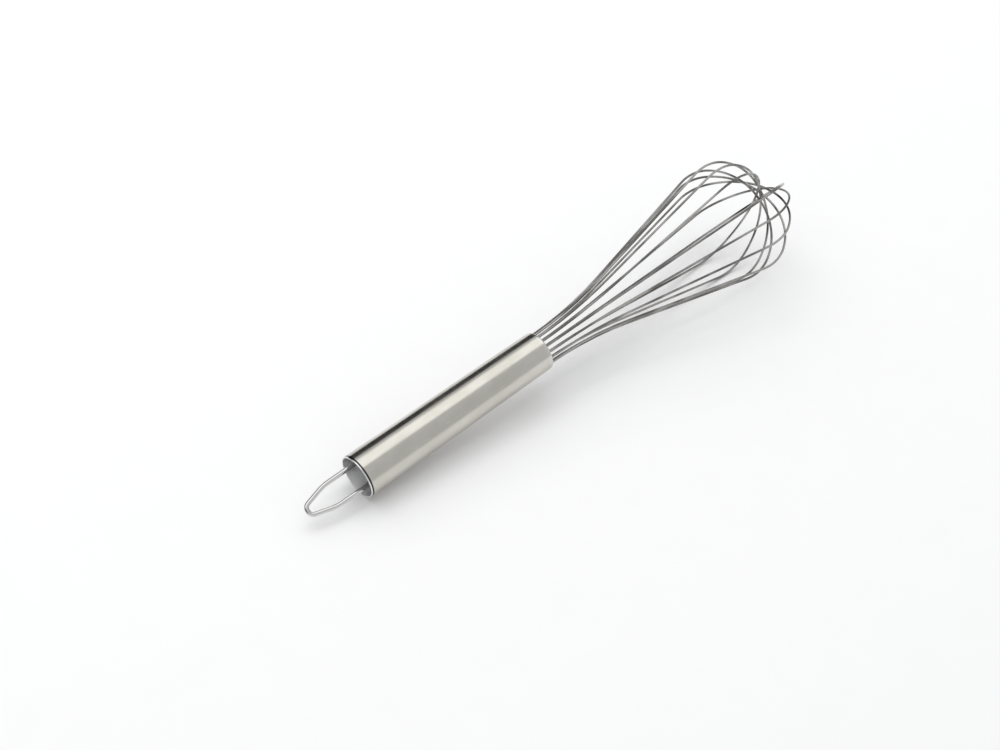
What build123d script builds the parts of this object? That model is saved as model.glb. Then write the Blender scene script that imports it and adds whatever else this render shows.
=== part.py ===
from build123d import *

import math
import os

# Balloon whisk, laid down as it rests on a table. Millimetres, +Z up, +X from the butt to the tip.
# The pieces are first made round the whisk's own axis, which is +X with the handle's mouth at 0.
# They are then tipped until the handle's mouth and the lowest wires touch the table together.

# Handle: a thin steel tube, open at the butt, that narrows a little towards the wires. Its front
# edge is rolled in until it nearly meets the ring of wires, which sets the size of the neck.
handle_length = 97.0
butt_diameter = 19.0
tube_wall = 0.6
lip_inner_roll = 0.3
lip_land = 0.15
butt_edge_round = 0.2

# Whipping wires: each loop is one length of wire, and both of its ends sit in the core plug.
wire_diameter = 1.0
wire_ring_diameter = 13.8
wire_tail = 14.0
first_loop_turn = 33.75

# One side of a loop leaves the lip straight, flares, swells to the belly and closes over the tip.
# A corner is where two straight runs would meet if they weren't bent. The arcs are as large as
# the runs allow: only these short straights are left beside the lip and between two arcs.
flare_start = 21.0
belly_depth = 19.5
belly_reach = 29.0
tip_reach = 132.5
tip_half_width = 14.3
lip_straight = 0.7
bend_straight = 1.0

# The loops are bent and set by hand, so no two are alike. For each loop, in order round the ring
# and in wire diameters: how far its tip stands out past the mean, how far it is pushed sideways in
# its own plane, how far it leans out of that plane, and how far its belly swells. Together they
# also keep each crossing wire just clear of the next.
loop_set = (
    (-3.0, -0.8, -1.2, -1.9),
    (-0.5, -0.6, -1.1, -0.6),
    (-1.8, -0.2, -0.8, 1.1),
    (-4.4, 2.3, -1.3, 2.9),
    (3.7, 1.9, 0.5, 1.9),
    (5.2, 1.2, -0.1, -3.1),
    (2.3, 1.0, -1.2, -0.2),
    (0.8, 1.3, 2.2, -0.6),
)

# Core plug and seal, which hold the wire ends in the neck of the handle.
plug_floor = 3.0
seal_setback = 0.2

# Hanging loop: two straight legs that turn in at the shoulders and meet in a small round end.
loop_wire_diameter = 2.0
leg_spacing = 9.8
loop_overhang = 25.5
end_to_shoulder = 11.0
shoulder_setback = 2.6
loop_end_width = 4.0
loop_end_flat = 0.1

# The disc that holds the loop's legs inside the open butt, and what they stand out behind it.
anchor_depth = 22.0
anchor_thickness = 2.0
leg_stub = 1.0

# Clearances, and how far a hole's cutter runs past the face that it cuts.
press_gap = 0.05
wire_gap = 0.05
lip_gap = 0.25
cutter_overrun = 1.0

butt_radius = butt_diameter / 2
wire_radius = wire_diameter / 2
ring_radius = wire_ring_diameter / 2
loop_wire_radius = loop_wire_diameter / 2
loop_count = len(loop_set)
lip_bore_radius = ring_radius + wire_radius + lip_gap
lip_roll_radius = lip_inner_roll + tube_wall
lip_shoulder = lip_bore_radius + lip_land
neck_radius = lip_shoulder + lip_roll_radius
roll_start = handle_length - lip_roll_radius
plug_front = roll_start - press_gap
wire_hole_start = handle_length - wire_tail - wire_gap


def outer_radius(x):
    """Outside radius of the handle at a distance from its mouth."""
    return butt_radius + (neck_radius - butt_radius) * x / roll_start


def bore_radius(x):
    """Inside radius of the handle at a distance from its mouth."""
    return outer_radius(x) - tube_wall


def bent_path(corners, setbacks):
    """Straight runs joined by tangent arcs, which start and end a setback from each corner."""
    edges = []
    start = corners[0]
    for before, corner, after, setback in zip(corners, corners[1:], corners[2:], setbacks):
        back = (before - corner).normalized()
        ahead = (after - corner).normalized()
        half_angle = math.radians(back.get_angle(ahead)) / 2
        radius = setback * math.tan(half_angle)
        to_middle = radius / math.sin(half_angle) - radius
        arc_start = corner + back * setback
        arc_middle = corner + (back + ahead).normalized() * to_middle
        arc_end = corner + ahead * setback
        edges.append(Edge.make_line(start, arc_start))
        edges.append(Edge.make_three_point_arc(arc_start, arc_middle, arc_end))
        start = arc_end
    edges.append(Edge.make_line(start, corners[-1]))
    return Wire(edges)


def round_wire(path, radius):
    """A round wire that follows a path."""
    return sweep(Plane(origin=path @ 0, z_dir=path % 0) * Circle(radius), path=path)


def loop_path(index):
    """Centre line of one whipping loop."""
    stand_out, push, lean, swell = (value * wire_diameter for value in loop_set[index])
    turn = math.radians(first_loop_turn + index * 180 / loop_count)
    tip = tip_reach + stand_out

    def place(x, reach):
        share = x / tip if x > flare_start else 0.0
        side = reach + push * share**2
        out = lean * share
        y = side * math.cos(turn) - out * math.sin(turn)
        z = side * math.sin(turn) + out * math.cos(turn)
        return Vector(handle_length + x, y, z)

    side_points = (
        (-wire_tail, ring_radius),
        (flare_start, ring_radius),
        (tip - belly_depth, belly_reach + swell),
        (tip, tip_half_width),
    )
    going = [place(x, reach) for x, reach in side_points]
    coming = [place(x, -reach) for x, reach in side_points]
    flare_setback = flare_start - lip_straight
    tip_setback = tip_half_width - bend_straight / 2
    taken = tip_setback + bend_straight
    belly_setbacks = [(side[2] - side[3]).length - taken for side in (going, coming)]
    return bent_path(
        going + coming[::-1],
        (flare_setback, belly_setbacks[0], tip_setback, tip_setback, belly_setbacks[1], flare_setback),
    )


def wire_ring_holes(start, length):
    """Round holes on the wire ring, two for each loop."""
    holes = []
    for index in range(2 * loop_count):
        turn = math.radians(first_loop_turn + index * 180 / loop_count)
        origin = (start, ring_radius * math.cos(turn), ring_radius * math.sin(turn))
        holes.append(extrude(Plane(origin=origin, z_dir=(1, 0, 0)) * Circle(wire_radius + wire_gap), length))
    return holes


def turned(points):
    """A solid of revolution round the whisk's axis, from points given as (x, radius)."""
    face = make_face(Plane.XZ * Polyline(*points, close=True))
    return revolve(face, Axis.X, 360)


def handle_tube():
    """Tapered tube with a rounded mouth edge and its front edge rolled in round the wires."""
    lip_back = handle_length - tube_wall
    with BuildSketch(Plane.XZ) as section:
        with BuildLine():
            Line((butt_edge_round, butt_radius), (roll_start, neck_radius))
            CenterArc((roll_start, lip_shoulder), lip_roll_radius, 0, 90)
            Line((handle_length, lip_shoulder), (handle_length, lip_bore_radius))
            Line((handle_length, lip_bore_radius), (lip_back, lip_bore_radius))
            Line((lip_back, lip_bore_radius), (lip_back, lip_shoulder))
            CenterArc((roll_start, lip_shoulder), lip_inner_roll, 0, 90)
            Line((roll_start, lip_shoulder + lip_inner_roll), (butt_edge_round, butt_radius - tube_wall))
            ThreePointArc(
                (butt_edge_round, butt_radius - tube_wall),
                (0, butt_radius - tube_wall / 2),
                (butt_edge_round, butt_radius),
            )
        make_face()
    return revolve(section.sketch, Axis.X, 360)


def core_plug():
    """Plug pressed into the neck, with a blind hole for each wire end."""
    back = wire_hole_start - plug_floor
    points = (
        (back, 0),
        (back, bore_radius(back) - press_gap),
        (plug_front, bore_radius(plug_front) - press_gap),
        (plug_front, 0),
    )
    return turned(points) - wire_ring_holes(wire_hole_start, wire_tail)


def end_seal():
    """Thin resin seal poured over the plug, just short of the lip."""
    front = handle_length - seal_setback
    radius = lip_bore_radius - press_gap
    points = ((plug_front, 0), (plug_front, radius), (front, radius), (front, 0))
    return turned(points) - wire_ring_holes(wire_hole_start, wire_tail + cutter_overrun)


def leg_offset():
    """From the whisk's axis to one leg of the hanging loop, in line with the first wire loop."""
    turn = math.radians(first_loop_turn)
    return Vector(0, math.cos(turn), math.sin(turn)) * (leg_spacing / 2)


def hanging_loop():
    """Wire loop with its legs inside the butt and its round end outside."""
    inner_end = anchor_depth + anchor_thickness + leg_stub
    end = loop_wire_radius - loop_overhang
    to_end_corner = loop_end_width / leg_spacing
    side_points = ((inner_end, 1), (end + end_to_shoulder, 1), (end, to_end_corner))
    going = [Vector(x, 0, 0) + leg_offset() * share for x, share in side_points]
    coming = [Vector(x, 0, 0) - leg_offset() * share for x, share in side_points]
    end_setback = (loop_end_width - loop_end_flat) / 2
    path = bent_path(going + coming[::-1], (shoulder_setback, end_setback, end_setback, shoulder_setback))
    return round_wire(path, loop_wire_radius)


def loop_anchor():
    """Disc pressed into the butt, with a hole for each leg of the hanging loop."""
    front = anchor_depth + anchor_thickness
    points = (
        (anchor_depth, 0),
        (anchor_depth, bore_radius(anchor_depth) - press_gap),
        (front, bore_radius(front) - press_gap),
        (front, 0),
    )
    disc = turned(points)
    for offset in (leg_offset(), -leg_offset()):
        origin = Vector(anchor_depth - cutter_overrun, 0, 0) + offset
        hole = Plane(origin=origin, z_dir=(1, 0, 0)) * Circle(loop_wire_radius + wire_gap)
        disc -= extrude(hole, anchor_thickness + 2 * cutter_overrun)
    return disc


def rest_tilt(paths):
    """Angle in degrees at which the mouth's edge and the lowest wire touch the table together."""
    marks_per_edge = 12
    steepest = 20.0
    halvings = 40
    shares = [step / marks_per_edge for step in range(marks_per_edge + 1)]
    marks = [edge @ share for path in paths for edge in path.edges() for share in shares]
    low, high = 0.0, steepest
    for _ in range(halvings):
        tilt = (low + high) / 2
        rise, level = math.sin(math.radians(tilt)), math.cos(math.radians(tilt))
        wire_bottom = min(mark.X * rise + mark.Z * level for mark in marks) - wire_radius
        mouth_bottom = -butt_radius * level + butt_edge_round * rise
        if wire_bottom < mouth_bottom:
            low = tilt
        else:
            high = tilt
    return high


paths = [loop_path(index) for index in range(loop_count)]
nodes = {
    "handle_tube": handle_tube(),
    "core_plug": core_plug(),
    "end_seal": end_seal(),
    "hanging_loop": hanging_loop(),
    "loop_anchor": loop_anchor(),
}
for index, path in enumerate(paths):
    nodes[f"wire_loop_{index + 1}"] = round_wire(path, wire_radius)

tilt = rest_tilt(paths)
laid = {name: Rot(0, -tilt, 0) * shape for name, shape in nodes.items()}
boxes = [shape.bounding_box() for shape in laid.values()]
centre_x = (min(box.min.X for box in boxes) + max(box.max.X for box in boxes)) / 2
centre_y = (min(box.min.Y for box in boxes) + max(box.max.Y for box in boxes)) / 2
bottom = min(box.min.Z for box in boxes)
print("tilt", round(tilt, 3), "shift", round(-centre_x, 3), round(-centre_y, 3), round(-bottom, 3))

os.makedirs("parts", exist_ok=True)
for name, shape in laid.items():
    export_step(Pos(-centre_x, -centre_y, -bottom) * shape, f"parts/{name}.step")
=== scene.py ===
import math

import bmesh
import bpy
from mathutils import Matrix, Vector


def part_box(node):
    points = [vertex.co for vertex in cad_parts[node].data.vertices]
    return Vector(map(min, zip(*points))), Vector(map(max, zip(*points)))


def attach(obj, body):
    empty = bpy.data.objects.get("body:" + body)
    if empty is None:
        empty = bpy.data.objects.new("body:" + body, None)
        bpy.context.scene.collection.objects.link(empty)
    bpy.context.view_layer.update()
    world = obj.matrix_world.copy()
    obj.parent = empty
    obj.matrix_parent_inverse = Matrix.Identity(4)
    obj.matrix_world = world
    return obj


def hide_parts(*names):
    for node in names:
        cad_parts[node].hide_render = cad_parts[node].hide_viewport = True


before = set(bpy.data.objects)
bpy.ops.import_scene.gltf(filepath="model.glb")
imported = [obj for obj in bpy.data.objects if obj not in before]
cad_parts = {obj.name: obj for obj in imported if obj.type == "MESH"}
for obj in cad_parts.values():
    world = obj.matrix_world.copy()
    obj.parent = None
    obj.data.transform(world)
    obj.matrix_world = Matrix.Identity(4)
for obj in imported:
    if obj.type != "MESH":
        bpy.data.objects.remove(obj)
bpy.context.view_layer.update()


# ---------------------------------------------------------------- handle tube
# A length of thin stainless tube that narrows a little to the neck. The butt is cut square and left
# open, with a bright rim and, just behind it, a dark line that is a painted reflection, and the front
# edge is rolled in round the wires.
# It is polished on a wheel, which leaves faint rings, and hands leave it a little cloudy.
MM = 0.001
HANDLE_LENGTH = 97.0 * MM
BUTT_RADIUS = 9.5 * MM
NECK_RADIUS = 8.7 * MM
TUBE_WALL = 0.6 * MM
LIP_BORE_RADIUS = 7.65 * MM
LIP_ROLL_RADIUS = 0.9 * MM
ROLL_START = HANDLE_LENGTH - LIP_ROLL_RADIUS
MOUTH_EDGE = 0.2 * MM
MOUTH_EDGE_STEPS = 4
BRIGHT_RIM = 0.3 * MM
PAINTED_REFLECTION_LINE_END = 1.3 * MM
TUBE_SIDES = 160
ROLL_STEPS = 8
MERGE_DISTANCE = 1e-6
TILT = math.radians(5.341)

tube_low, tube_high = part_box("handle_tube")
MOUTH = Vector(
    (
        tube_low.x + BUTT_RADIUS * math.sin(TILT),
        (tube_low.y + tube_high.y) / 2,
        tube_low.z + BUTT_RADIUS * math.cos(TILT),
    )
)
# The whisk's own axis: +X from the middle of the open mouth to the tip of the wires.
WHISK_AXIS = Matrix.Translation(MOUTH) @ Matrix.Rotation(-TILT, 4, "Y")


def start_clean():
    """Nothing selected and no object in edit mode, so that an operator acts on one piece."""
    if bpy.context.object and bpy.context.object.mode != "OBJECT":
        bpy.ops.object.mode_set(mode="OBJECT")
    bpy.ops.object.select_all(action="DESELECT")


def select_by(kind, test):
    """In edit mode, selects just the vertices or edges that pass a test, by their place."""
    bpy.ops.mesh.select_mode(type={"verts": "VERT", "edges": "EDGE"}[kind])
    bpy.ops.mesh.select_all(action="DESELECT")
    mesh = bmesh.from_edit_mesh(bpy.context.object.data)
    for item in getattr(mesh, kind):
        if test(item):
            item.select_set(True)
    mesh.select_flush_mode()
    bmesh.update_edit_mesh(bpy.context.object.data)


def finish_piece(name, smooth_angle):
    """Closes seams, turns the faces outwards, puts the place into the mesh and names the piece."""
    piece = bpy.context.object
    if piece.mode != "EDIT":
        bpy.ops.object.mode_set(mode="EDIT")
    bpy.ops.mesh.select_mode(type="VERT")
    bpy.ops.mesh.select_all(action="SELECT")
    bpy.ops.mesh.remove_doubles(threshold=MERGE_DISTANCE)
    bpy.ops.mesh.normals_make_consistent(inside=False)
    bpy.ops.object.mode_set(mode="OBJECT")
    piece.matrix_world = WHISK_AXIS
    bpy.ops.object.transform_apply(location=True, rotation=True, scale=True)
    bpy.ops.object.shade_smooth_by_angle(angle=math.radians(smooth_angle))
    piece.name = piece.data.name = name
    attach(piece, "root")
    return piece


def widen_ring(shift, factor):
    """Extrudes the selected ring along the axis by a distance and scales it about the axis."""
    bpy.ops.mesh.extrude_region_move(TRANSFORM_OT_translate={"value": (shift, 0, 0)})
    bpy.ops.transform.resize(value=(1, factor, factor), center_override=(0, 0, 0))


start_clean()
bpy.ops.mesh.primitive_cone_add(
    vertices=TUBE_SIDES,
    radius1=BUTT_RADIUS,
    radius2=NECK_RADIUS,
    depth=ROLL_START,
    end_fill_type="NOTHING",
    location=(ROLL_START / 2, 0, 0),
    rotation=(0, math.pi / 2, 0),
)
bpy.ops.object.transform_apply(location=True, rotation=True, scale=True)
bpy.ops.object.mode_set(mode="EDIT")
select_by("verts", lambda v: v.co.x > ROLL_START - MOUTH_EDGE)
ring_radius_now = NECK_RADIUS
for step in range(1, ROLL_STEPS + 1):
    turn = math.pi / 2 * step / ROLL_STEPS
    last = math.pi / 2 * (step - 1) / ROLL_STEPS
    next_radius = NECK_RADIUS - LIP_ROLL_RADIUS * (1 - math.cos(turn))
    widen_ring(LIP_ROLL_RADIUS * (math.sin(turn) - math.sin(last)), next_radius / ring_radius_now)
    ring_radius_now = next_radius
widen_ring(0, LIP_BORE_RADIUS / ring_radius_now)
bpy.ops.mesh.select_all(action="SELECT")
bpy.ops.mesh.normals_make_consistent(inside=False)
bpy.ops.object.mode_set(mode="OBJECT")
handle = bpy.context.object
wall = handle.modifiers.new("wall", "SOLIDIFY")
wall.thickness = TUBE_WALL
wall.offset = -1
wall.use_even_offset = True
bpy.ops.object.modifier_apply(modifier="wall")
bpy.ops.object.mode_set(mode="EDIT")
select_by("edges", lambda e: all(v.co.x < MOUTH_EDGE for v in e.verts) and not e.is_boundary)
bpy.ops.mesh.bevel(offset=MOUTH_EDGE, segments=MOUTH_EDGE_STEPS, affect="EDGES")
handle = finish_piece("handle_tube_polished", 30)
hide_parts("handle_tube")


class Signal:
    """A number on its way through a finish. Sums on it become Math nodes."""

    def __init__(self, finish, socket):
        self.finish = finish
        self.socket = socket

    def combine(self, operation, first, second):
        return self.finish.node("ShaderNodeMath", {"operation": operation}, {0: first, 1: second})

    def __add__(self, other):
        return self.combine("ADD", self, other)

    def __sub__(self, other):
        return self.combine("SUBTRACT", self, other)

    def __rsub__(self, other):
        return self.combine("SUBTRACT", other, self)

    def __mul__(self, other):
        return self.combine("MULTIPLY", self, other)

    __radd__ = __add__
    __rmul__ = __mul__


class Finish:
    """A surface finish: one material, its nodes, and the coordinates that its patterns read."""

    def __init__(self, name):
        self.material = bpy.data.materials.new(name)
        self.material.use_nodes = True
        self.tree = self.material.node_tree
        self.tree.nodes.clear()

    def node(self, kind, settings, inputs, output=0):
        """Adds one node with its settings, then the values or links of its sockets."""
        made = self.tree.nodes.new(kind)
        for setting, value in settings.items():
            setattr(made, setting, value)
        for socket, value in inputs.items():
            if isinstance(value, Signal):
                self.tree.links.new(value.socket, made.inputs[socket])
            else:
                made.inputs[socket].default_value = value
        return Signal(self, made.outputs[output]) if len(made.outputs) else None

    def along_whisk(self, stretch=(1.0, 1.0, 1.0)):
        """Object coordinates turned to the whisk's axis, with X along it, then stretched."""
        point = self.node("ShaderNodeTexCoord", {}, {}, "Object")
        turned = self.node(
            "ShaderNodeMapping",
            {"vector_type": "TEXTURE"},
            {"Vector": point, "Location": MOUTH, "Rotation": (0, -TILT, 0)},
        )
        return self.node("ShaderNodeVectorMath", {"operation": "MULTIPLY"}, {0: turned, 1: stretch})

    def noise(self, vector, scale, detail=2.0, roughness=0.5):
        """A cloudy pattern, from nought to one."""
        inputs = {"Vector": vector, "Scale": scale, "Detail": detail, "Roughness": roughness}
        return self.node("ShaderNodeTexNoise", {}, inputs, "Fac")

    def ramp_up(self, value, low, high):
        """Nought below one value, one above another, and smooth between them."""
        inputs = {"Value": value, "From Min": low, "From Max": high}
        return self.node("ShaderNodeMapRange", {"interpolation_type": "SMOOTHSTEP"}, inputs)

    def blend(self, factor, first, second):
        """Mixes two colours by a factor."""
        return self.node(
            "ShaderNodeMix",
            {"data_type": "RGBA"},
            {"Factor": factor, 6: first, 7: second},
            2,
        )

    def surface(self, inputs, height=None, relief=0.0):
        """Ends the finish in a Principled shader, with a bump from a height where one is given."""
        if height is not None:
            inputs["Normal"] = self.node(
                "ShaderNodeBump", {}, {"Height": height, "Distance": relief, "Strength": 1.0}
            )
        shader = self.node("ShaderNodeBsdfPrincipled", {}, inputs)
        self.node("ShaderNodeOutputMaterial", {}, {"Surface": shader})
        return self.material


def put_on(piece, material):
    """Gives a piece one material and no other."""
    piece.data.materials.clear()
    piece.data.materials.append(material)


STEEL_CLOUDED = (0.59, 0.57, 0.52, 1)
STEEL_CLEAR = (0.67, 0.65, 0.605, 1)
STEEL_HANDLED = (0.52, 0.50, 0.445, 1)
STEEL_SCRATCHED = (0.74, 0.73, 0.70, 1)
STEEL_WORN = (0.84, 0.84, 0.83, 1)
# Near-black colour for the line just behind the butt rim: a painted reflection of dark surroundings.
STEEL_PAINTED_REFLECTION_LINE = (0.05, 0.05, 0.045, 1)
STEEL_CUT_RIM = (0.82, 0.82, 0.825, 1)
POLISH_RELIEF = 0.04 * MM

polish = Finish("handle_polished_steel")
rings = polish.noise(polish.along_whisk((1.0, 0.02, 0.02)), scale=2600.0, detail=4.0, roughness=0.7)
waves = polish.noise(polish.along_whisk((0.35, 1.0, 1.0)), scale=70.0, detail=1.0)
clouds = polish.noise(polish.along_whisk(), scale=110.0, detail=4.0, roughness=0.62)
grip_marks = polish.noise(polish.along_whisk((0.06, 1.0, 1.0)), scale=1500.0, detail=3.0, roughness=0.7)
scratches = polish.ramp_up(grip_marks, 0.62, 0.72)
hand_marks = polish.noise(polish.along_whisk((0.5, 1.0, 1.0)), scale=85.0, detail=3.0, roughness=0.6)
handled = polish.ramp_up(hand_marks, 0.38, 0.66)

# Where a point lies: its reach from the mouth, and whether it is on the outside of the tube.
reach = polish.node("ShaderNodeSeparateXYZ", {}, {"Vector": polish.along_whisk()}, "X")
across = polish.along_whisk((0.0, 1.0, 1.0))
radial = polish.node("ShaderNodeVectorMath", {"operation": "LENGTH"}, {0: across}, "Value")
full_radius = radial + reach * ((BUTT_RADIUS - NECK_RADIUS) / ROLL_START)
outside = polish.ramp_up(full_radius, BUTT_RADIUS - 0.9 * TUBE_WALL, BUTT_RADIUS - 0.5 * TUBE_WALL)
worn_lip = polish.ramp_up(reach, HANDLE_LENGTH - 3 * LIP_ROLL_RADIUS, HANDLE_LENGTH)
past_rim = polish.ramp_up(reach, BRIGHT_RIM, BRIGHT_RIM + MOUTH_EDGE)
# Mask for the dark line on the outside just behind the rim: a painted reflection, not a burr or a dull
# finish.
painted_reflection_line = past_rim * (1 - polish.ramp_up(reach, PAINTED_REFLECTION_LINE_END - MOUTH_EDGE, PAINTED_REFLECTION_LINE_END))

steel = polish.blend(clouds, STEEL_CLOUDED, STEEL_CLEAR)
steel = polish.blend(handled * 0.5, steel, STEEL_HANDLED)
steel = polish.blend(scratches * 0.35, steel, STEEL_SCRATCHED)
steel = polish.blend(worn_lip * 0.4, steel, STEEL_WORN)
steel = polish.blend(painted_reflection_line, steel, STEEL_PAINTED_REFLECTION_LINE)
steel = polish.blend(outside * past_rim, STEEL_CUT_RIM, steel)
polish_roughness = 0.11 + clouds * 0.10 + rings * 0.06 + scratches * 0.06
polish_roughness = polish_roughness + handled * 0.05 + (1 - outside) * 0.12
put_on(
    handle,
    polish.surface(
        {"Base Color": steel, "Metallic": 1.0, "Roughness": polish_roughness},
        rings * 0.05 + waves + scratches * 0.04,
        POLISH_RELIEF,
    ),
)


# ---------------------------------------------------------------- whipping wires
# Eight lengths of hard-drawn stainless wire, each bent to a loop round a former and set by hand,
# so no two are quite alike. Both ends go into the plug, and the loops cross one over another at
# the tip. Drawn wire is satin, with a fine grain. Its colour is kept dark, with darker and lighter
# stretches along it: painted dark reflection and painted highlight.
WIRE_RADIUS = 0.5 * MM
WIRE_SIDES = 24
WIRE_RING_RADIUS = 6.9 * MM
WIRE_TAIL = 14.0 * MM
FIRST_LOOP_TURN = math.radians(33.75)
FLARE_START = 21.0 * MM
BELLY_DEPTH = 19.5 * MM
BELLY_REACH = 29.0 * MM
TIP_REACH = 132.5 * MM
TIP_HALF_WIDTH = 14.3 * MM
LIP_STRAIGHT = 0.7 * MM
BEND_STRAIGHT = 1.0 * MM
BEND_STEP = math.radians(2.5)
FEWEST_BEND_STEPS = 4
# For each loop, in wire diameters: how far its tip stands out, how far it is pushed sideways, how
# far it leans, and how far its belly swells. A separate fitting script worked these values out, to
# a tenth of a diameter. They weren't chosen by hand.
LOOP_SET = (
    (-3.0, -0.8, -1.2, -1.9),
    (-0.5, -0.6, -1.1, -0.6),
    (-1.8, -0.2, -0.8, 1.1),
    (-4.4, 2.3, -1.3, 2.9),
    (3.7, 1.9, 0.5, 1.9),
    (5.2, 1.2, -0.1, -3.1),
    (2.3, 1.0, -1.2, -0.2),
    (0.8, 1.3, 2.2, -0.6),
)


def loop_corners(index):
    """The corners that one loop is bent round, and how far from each its bend starts."""
    stand_out, push, lean, swell = (value * 2 * WIRE_RADIUS for value in LOOP_SET[index])
    turn = FIRST_LOOP_TURN + index * math.pi / len(LOOP_SET)
    tip = TIP_REACH + stand_out

    def place(x, reach):
        share = x / tip if x > FLARE_START else 0.0
        side = reach + push * share**2
        out = lean * share
        y = side * math.cos(turn) - out * math.sin(turn)
        z = side * math.sin(turn) + out * math.cos(turn)
        return Vector((HANDLE_LENGTH + x, y, z))

    side_points = (
        (-WIRE_TAIL, WIRE_RING_RADIUS),
        (FLARE_START, WIRE_RING_RADIUS),
        (tip - BELLY_DEPTH, BELLY_REACH + swell),
        (tip, TIP_HALF_WIDTH),
    )
    going = [place(x, reach) for x, reach in side_points]
    coming = [place(x, -reach) for x, reach in side_points]
    flare = FLARE_START - LIP_STRAIGHT
    over_tip = TIP_HALF_WIDTH - BEND_STRAIGHT / 2
    belly = [(side[2] - side[3]).length - over_tip - BEND_STRAIGHT for side in (going, coming)]
    return going + coming[::-1], (flare, belly[0], over_tip, over_tip, belly[1], flare)


def bend_wire(corners, setbacks, wire_radius, sides, step):
    """Draws a round wire: a disc pushed straight along each run and swung round each corner."""
    heading = (corners[1] - corners[0]).normalized()
    start_clean()
    bpy.ops.mesh.primitive_circle_add(
        vertices=sides,
        radius=wire_radius,
        fill_type="NGON",
        location=corners[0],
        rotation=heading.to_track_quat("Z", "Y").to_euler(),
    )
    bpy.ops.object.transform_apply(location=True, rotation=True, scale=True)
    bpy.ops.object.mode_set(mode="EDIT")
    bpy.ops.mesh.select_all(action="SELECT")
    here = corners[0]
    for before, corner, after, setback in zip(corners, corners[1:], corners[2:], setbacks):
        back = (before - corner).normalized()
        ahead = (after - corner).normalized()
        half_angle = back.angle(ahead) / 2
        bend = math.pi - 2 * half_angle
        arc_start = corner + back * setback
        bend_centre = corner + (back + ahead).normalized() * setback / math.cos(half_angle)
        bpy.ops.mesh.extrude_region_move(TRANSFORM_OT_translate={"value": arc_start - here})
        bpy.ops.mesh.spin(
            steps=max(FEWEST_BEND_STEPS, round(bend / step)),
            angle=-bend,
            center=bend_centre,
            axis=back.cross(ahead).normalized() * -1,
        )
        here = corner + ahead * setback
    bpy.ops.mesh.extrude_region_move(TRANSFORM_OT_translate={"value": corners[-1] - here})


# Dark wire colours, mixed in stretches along the wires: painted dark reflection and painted highlight,
# not dull patches of the steel.
WIRE_PAINTED_DARK_REFLECTION = (0.15, 0.147, 0.14, 1)
WIRE_PAINTED_HIGHLIGHT = (0.44, 0.43, 0.415, 1)
FINE_RELIEF = 0.01 * MM

drawn = Finish("wire_drawn_steel")
skin = drawn.noise(drawn.along_whisk(), scale=900.0, detail=3.0, roughness=0.6)
painted_reflection_noise = drawn.noise(drawn.along_whisk((0.3, 1.0, 1.0)), scale=160.0)
painted_reflection_patches = drawn.ramp_up(painted_reflection_noise, 0.34, 0.66)
wire_colour = drawn.blend(painted_reflection_patches, WIRE_PAINTED_DARK_REFLECTION, WIRE_PAINTED_HIGHLIGHT)
wire_steel = drawn.surface(
    {"Base Color": wire_colour, "Metallic": 1.0, "Roughness": 0.14 - painted_reflection_patches * 0.07 + skin * 0.05},
    skin,
    FINE_RELIEF,
)
for index in range(len(LOOP_SET)):
    bend_wire(*loop_corners(index), WIRE_RADIUS, WIRE_SIDES, BEND_STEP)
    wire = finish_piece(f"wire_loop_{index + 1}_drawn", 50)
    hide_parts(f"wire_loop_{index + 1}")
    put_on(wire, wire_steel)


# ---------------------------------------------------------------- hanging loop
# An eye of thicker bright wire to hang the whisk by. Its legs come out of the open butt side by
# side, turn in and meet in a small round end. Inside, they go through the anchor disc.
LOOP_WIRE_RADIUS = 1.0 * MM
LOOP_WIRE_SIDES = 40
LEG_SPACING = 9.8 * MM
LOOP_OVERHANG = 25.5 * MM
END_TO_SHOULDER = 11.0 * MM
SHOULDER_SETBACK = 2.6 * MM
LOOP_END_WIDTH = 4.0 * MM
LOOP_END_FLAT = 0.1 * MM
LEG_DEPTH = 25.0 * MM
HANGER_BEND_STEP = math.radians(4)

leg_offset = Vector((0, math.cos(FIRST_LOOP_TURN), math.sin(FIRST_LOOP_TURN))) * LEG_SPACING / 2
loop_end = LOOP_WIRE_RADIUS - LOOP_OVERHANG
leg_points = (
    (LEG_DEPTH, 1),
    (loop_end + END_TO_SHOULDER, 1),
    (loop_end, LOOP_END_WIDTH / LEG_SPACING),
)
leg_out = [Vector((x, 0, 0)) + leg_offset * share for x, share in leg_points]
leg_in = [Vector((x, 0, 0)) - leg_offset * share for x, share in leg_points]
end_setback = (LOOP_END_WIDTH - LOOP_END_FLAT) / 2
bend_wire(
    leg_out + leg_in[::-1],
    (SHOULDER_SETBACK, end_setback, end_setback, SHOULDER_SETBACK),
    LOOP_WIRE_RADIUS,
    LOOP_WIRE_SIDES,
    HANGER_BEND_STEP,
)
hanger = finish_piece("hanging_loop_bright", 50)
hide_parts("hanging_loop")
bright = Finish("hanger_bright_wire")
scuffs = bright.noise(bright.along_whisk((0.2, 1.0, 1.0)), scale=700.0, detail=3.0, roughness=0.6)
put_on(
    hanger,
    bright.surface(
        {
            "Base Color": bright.blend(scuffs, (0.60, 0.595, 0.585, 1), (0.76, 0.755, 0.745, 1)),
            "Metallic": 1.0,
            "Roughness": 0.04 + scuffs * 0.05,
        },
        scuffs,
        FINE_RELIEF,
    ),
)


# ---------------------------------------------------------------- anchor disc
# A stamped stainless disc pressed into the open butt, with a hole for each of the hanging loop's
# legs. It is as stamped, so it is duller than the tube.
stamped = Finish("anchor_stamped_steel")
grain = stamped.noise(stamped.along_whisk(), scale=1500.0, detail=4.0, roughness=0.65)
put_on(
    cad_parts["loop_anchor"],
    stamped.surface(
        {
            "Base Color": stamped.blend(grain, (0.42, 0.41, 0.40, 1), (0.55, 0.54, 0.52, 1)),
            "Metallic": 1.0,
            "Roughness": 0.32 + grain * 0.15,
        },
        grain,
        0.02 * MM,
    ),
)


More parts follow.
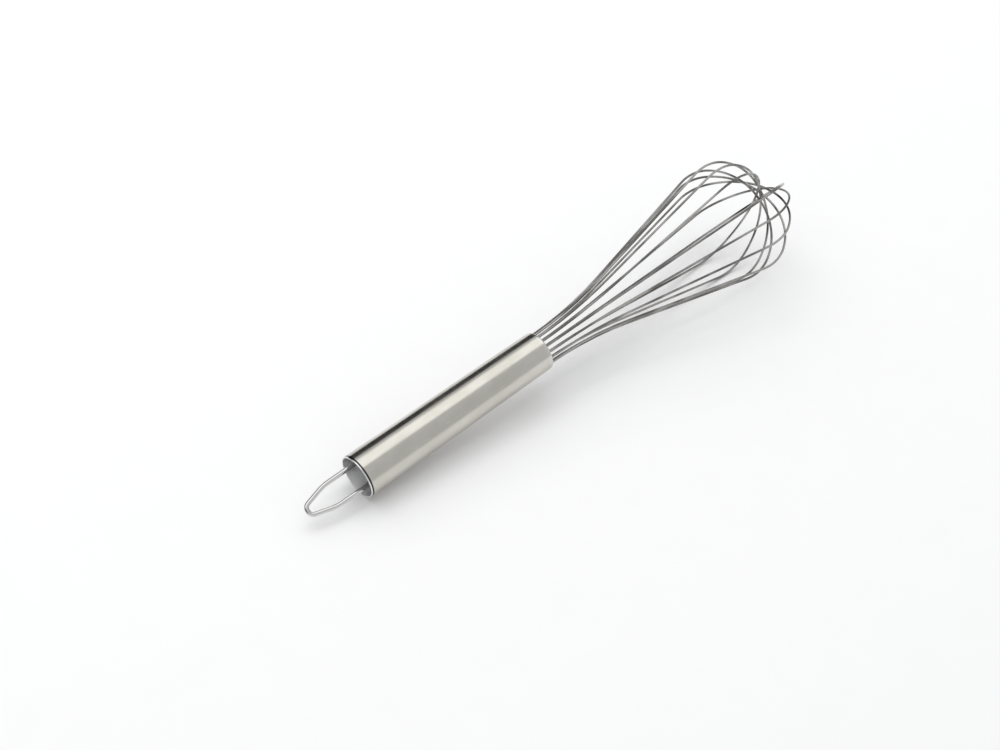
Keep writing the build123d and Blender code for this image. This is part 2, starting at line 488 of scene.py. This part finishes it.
# ---------------------------------------------------------------- core plug
# A moulded nylon plug inside the neck, with a blind hole for each wire end. It isn't seen from
# outside. Natural nylon is off-white, waxy and faintly mottled.
moulded = Finish("plug_natural_nylon")
mottle = moulded.noise(moulded.along_whisk(), scale=300.0, detail=3.0)
put_on(
    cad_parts["core_plug"],
    moulded.surface(
        {
            "Base Color": moulded.blend(mottle, (0.74, 0.72, 0.66, 1), (0.84, 0.82, 0.77, 1)),
            "Roughness": 0.42 + mottle * 0.15,
        },
        mottle,
        0.02 * MM,
    ),
)


# ---------------------------------------------------------------- end seal
# Grey epoxy resin poured over the plug inside the lip, round the wires. It sets fairly glossy,
# with a slight flow to its face and fine specks of dust in it.
poured = Finish("seal_grey_resin")
flow = poured.noise(poured.along_whisk(), scale=420.0)
specks = poured.noise(poured.along_whisk(), scale=2600.0, roughness=0.7)
put_on(
    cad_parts["end_seal"],
    poured.surface(
        {
            "Base Color": poured.blend(specks, (0.30, 0.30, 0.29, 1), (0.44, 0.44, 0.42, 1)),
            "Roughness": 0.22 + flow * 0.2,
        },
        flow + specks * 0.2,
        0.06 * MM,
    ),
)


# ---------------------------------------------------------------- floor, light and camera
# A plain white table under a wide soft box overhead, with a wash of light on the table from behind.
# Two dark screens stand far off behind and to the left. Only polished metal shows them, as the
# thin dark edges that a bright tube has in a studio.
FLOOR_SIDE = 12.0
ROOM_GLOW = 0.66
ROOM_COLOUR = (0.985, 0.99, 1.0, 1)

start_clean()
bpy.ops.mesh.primitive_plane_add(size=FLOOR_SIDE, location=(0, 0, 0))
floor = bpy.context.object
floor.name = "floor"
paper = Finish("floor_white_paper")
fibre = paper.noise(paper.node("ShaderNodeTexCoord", {}, {}, "Object"), scale=60.0, detail=3.0)
white = paper.blend(fibre, (0.90, 0.90, 0.902, 1), (0.92, 0.92, 0.922, 1))
put_on(floor, paper.surface({"Base Color": white, "Roughness": 0.7, "Specular IOR Level": 0.0}))

felt = Finish("screen_dark_felt")
nap = felt.noise(felt.node("ShaderNodeTexCoord", {}, {}, "Object"), scale=90.0, detail=3.0)
dark = felt.blend(nap, (0.02, 0.02, 0.02, 1), (0.04, 0.04, 0.04, 1))
dark_felt = felt.surface({"Base Color": dark, "Roughness": 0.9})


def dark_screen(name, start, end, height):
    """An upright screen on the table between two points, which only shows in reflections."""
    start_clean()
    bpy.ops.mesh.primitive_plane_add(size=1.0, location=(0, 0, 0))
    bpy.ops.object.mode_set(mode="EDIT")
    screen_mesh = bmesh.from_edit_mesh(bpy.context.object.data)
    for corner in screen_mesh.verts:
        foot = start if corner.co.x < 0 else end
        corner.co = (*foot, height if corner.co.y > 0 else 0.0)
    bpy.ops.object.mode_set(mode="OBJECT")
    screen = bpy.context.object
    screen.name = name
    put_on(screen, dark_felt)
    screen.visible_camera = False
    screen.visible_diffuse = False
    screen.visible_shadow = False


dark_screen("screen_behind", (-2.0, 1.6), (2.6, 1.6), 1.25)
dark_screen("screen_left", (-2.0, -1.2), (-2.0, 1.6), 1.5)


def soft_box(name, place, target, width, height, glow, colour, in_reflections=True):
    """A rectangular soft light at a place, turned to a target, with an even glow."""
    light = bpy.data.lights.new(name, "AREA")
    light.shape = "RECTANGLE"
    light.size = width
    light.size_y = height
    light.energy = glow * math.pi * width * height
    light.color = colour
    lamp = bpy.data.objects.new(name, light)
    bpy.context.scene.collection.objects.link(lamp)
    lamp.location = place
    lamp.rotation_euler = (Vector(target) - Vector(place)).to_track_quat("-Z", "Y").to_euler()
    lamp.visible_glossy = in_reflections


soft_box(
    "overhead_box",
    place=(0.0, 0.30, 1.30),
    target=(0, 0.06, 0.0),
    width=3.0,
    height=1.15,
    glow=0.72,
    colour=(1.0, 0.995, 0.98),
)
soft_box(
    "table_wash",
    place=(0.25, 1.3, 1.7),
    target=(0, 0, 0.0),
    width=2.0,
    height=1.8,
    glow=1.35,
    colour=ROOM_COLOUR[:3],
    in_reflections=False,
)

world = bpy.data.worlds.new("studio")
bpy.context.scene.world = world
world.use_nodes = True
world.node_tree.nodes["Background"].inputs["Color"].default_value = ROOM_COLOUR
world.node_tree.nodes["Background"].inputs["Strength"].default_value = ROOM_GLOW
bpy.context.scene.view_settings.view_transform = "Standard"

AIM = Vector((-0.0308, -0.0006, 0.020))
VIEW = Vector((0.4766, 0.4890, -0.7306)).normalized()
VIEW_DISTANCE = 0.8522
VIEW_ROLL = math.radians(3.94)
LENS = 75.5
SENSOR_WIDTH = 36.0
camera_data = bpy.data.cameras.new("camera")
camera_data.lens = LENS
camera_data.sensor_width = SENSOR_WIDTH
camera = bpy.data.objects.new("camera", camera_data)
bpy.context.scene.collection.objects.link(camera)
facing = VIEW.to_track_quat("-Z", "Y").to_matrix().to_4x4()
camera.matrix_world = (
    Matrix.Translation(AIM - VIEW * VIEW_DISTANCE) @ facing @ Matrix.Rotation(VIEW_ROLL, 4, "Z")
)
bpy.context.scene.camera = camera
